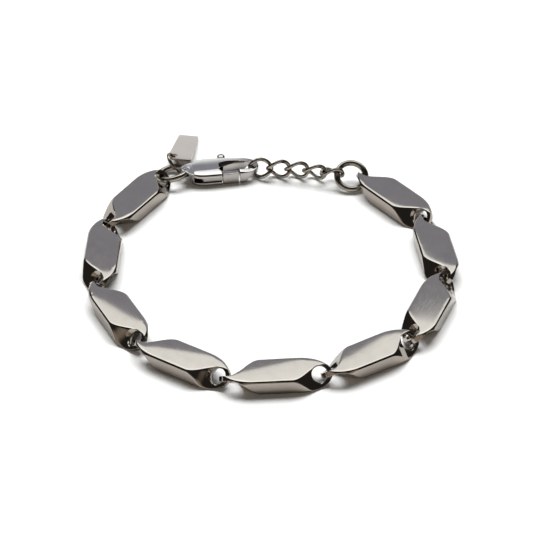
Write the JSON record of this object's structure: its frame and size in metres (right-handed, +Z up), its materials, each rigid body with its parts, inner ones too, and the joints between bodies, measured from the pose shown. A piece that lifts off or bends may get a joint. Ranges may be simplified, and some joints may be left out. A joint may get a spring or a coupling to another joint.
{
  "type": "link bracelet",
  "caption": "Metal bracelet of interlocked double-eye bar links, closed by a sprung lobster clasp on a curb chain extension, with jump rings and a small blank tag.",
  "frame": {"origin": "middle of the bounding box on the surface that the bracelet lies on", "axes": "+X to the right, +Y from the front links towards the clasp and tag at the back, +Z up out of the surface"},
  "size_m": [0.0694, 0.0768, 0.0042],
  "materials": {
    "link_steel": "dark mirror-polished steel",
    "wire_steel": "dark polished steel wire",
    "clasp_steel": "polished steel",
    "tag_steel": "satin steel, blank"
  },
  "bodies": {
    "bracelet": {"link_1": "link_steel", "link_2": "link_steel", "link_3": "link_steel", "link_4": "link_steel", "link_5": "link_steel", "link_6": "link_steel", "link_7": "link_steel", "link_8": "link_steel", "link_9": "link_steel", "jump_ring_left": "wire_steel", "jump_ring_right": "wire_steel", "chain_link_1": "wire_steel", "chain_link_2": "wire_steel", "chain_link_3": "wire_steel", "chain_link_4": "wire_steel", "chain_link_5": "wire_steel", "clasp_body": "clasp_steel", "clasp_pin": "clasp_steel", "tag": "tag_steel", "tag_ring": "wire_steel"},
    "clasp_lever": {"clasp_lever": "clasp_steel"}
  },
  "joints": [
    {"name": "clasp_lever_hinge", "type": "hinge", "parent": "bracelet", "child": "clasp_lever", "pos_m": [-0.01266, 0.02369, 0.00137], "axis": [0, 0, 1], "range_deg": [0, 12], "stiffness_Nm_per_rad": 0.002, "springref_deg": -5.73}
  ]
}
